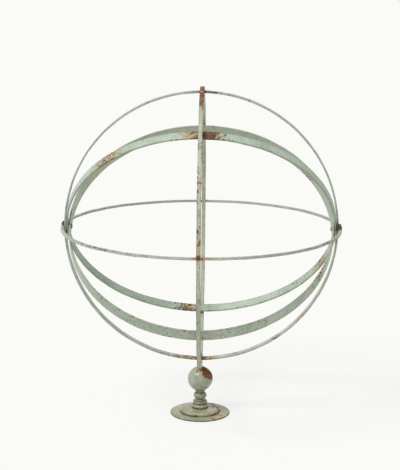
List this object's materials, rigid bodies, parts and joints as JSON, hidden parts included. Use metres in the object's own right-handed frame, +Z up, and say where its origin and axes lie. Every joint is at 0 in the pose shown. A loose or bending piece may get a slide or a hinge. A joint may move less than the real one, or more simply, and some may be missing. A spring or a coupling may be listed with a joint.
{
  "type": "armillary sphere",
  "caption": "Painted iron armillary sphere: upright meridian and colure rings, a level horizon ring and tilting bands, turning on a ball-and-baluster foot.",
  "frame": {"origin": "centre of the foot's underside", "axes": "+Z up through the ball, the stud and the cage's centre; -Y towards the front, where the narrow band is tilted up; X along the bands' pivot pins"},
  "size_m": [0.6602, 0.6622, 0.7891],
  "materials": {
    "pedestal_paint": "chalky green paint on iron, rust stained",
    "ring_paint": "chalky sage green paint on iron, chipped to rust",
    "band_paint": "chalky sage green paint on iron, chipped to rust",
    "rusty_fixings": "thin green paint on rusty iron",
    "bare_steel": "dull plain steel"
  },
  "bodies": {
    "stand": {"foot_disc": "pedestal_paint", "foot_step": "pedestal_paint", "foot_screws": "bare_steel", "stem_collar": "pedestal_paint", "stem_bead": "pedestal_paint", "ball": "pedestal_paint", "tie_rod": "bare_steel", "foot_washer": "bare_steel", "foot_nut": "bare_steel", "pivot_stud": "rusty_fixings", "ball_washer": "rusty_fixings", "thrust_washer": "rusty_fixings", "keeper_washer": "rusty_fixings", "stud_cap_nut": "rusty_fixings"},
    "cage": {"meridian_ring": "ring_paint", "colure_ring": "ring_paint", "horizon_ring": "ring_paint", "zenith_rivet": "rusty_fixings", "nadir_rivets": "rusty_fixings", "lap_rivets": "rusty_fixings", "left_pivot_pin": "rusty_fixings", "left_pivot_spacers": "rusty_fixings", "left_pivot_washer": "rusty_fixings", "left_pivot_nut": "rusty_fixings", "right_pivot_pin": "rusty_fixings", "right_pivot_spacers": "rusty_fixings", "right_pivot_washer": "rusty_fixings", "right_pivot_nut": "rusty_fixings"},
    "narrow_band": {"narrow_band": "band_paint"},
    "broad_band": {"broad_band": "band_paint"}
  },
  "joints": [
    {"name": "sphere_swivel", "type": "hinge", "parent": "stand", "child": "cage", "pos_m": [0, 0, 0.458], "axis": [0, 0, 1], "continuous": true},
    {"name": "narrow_band_tilt", "type": "hinge", "parent": "cage", "child": "narrow_band", "pos_m": [0, 0, 0.458], "axis": [1, 0, 0], "range_deg": [-34, 138]},
    {"name": "broad_band_tilt", "type": "hinge", "parent": "cage", "child": "broad_band", "pos_m": [0, 0, 0.458], "axis": [1, 0, 0], "range_deg": [-124, 46]}
  ]
}
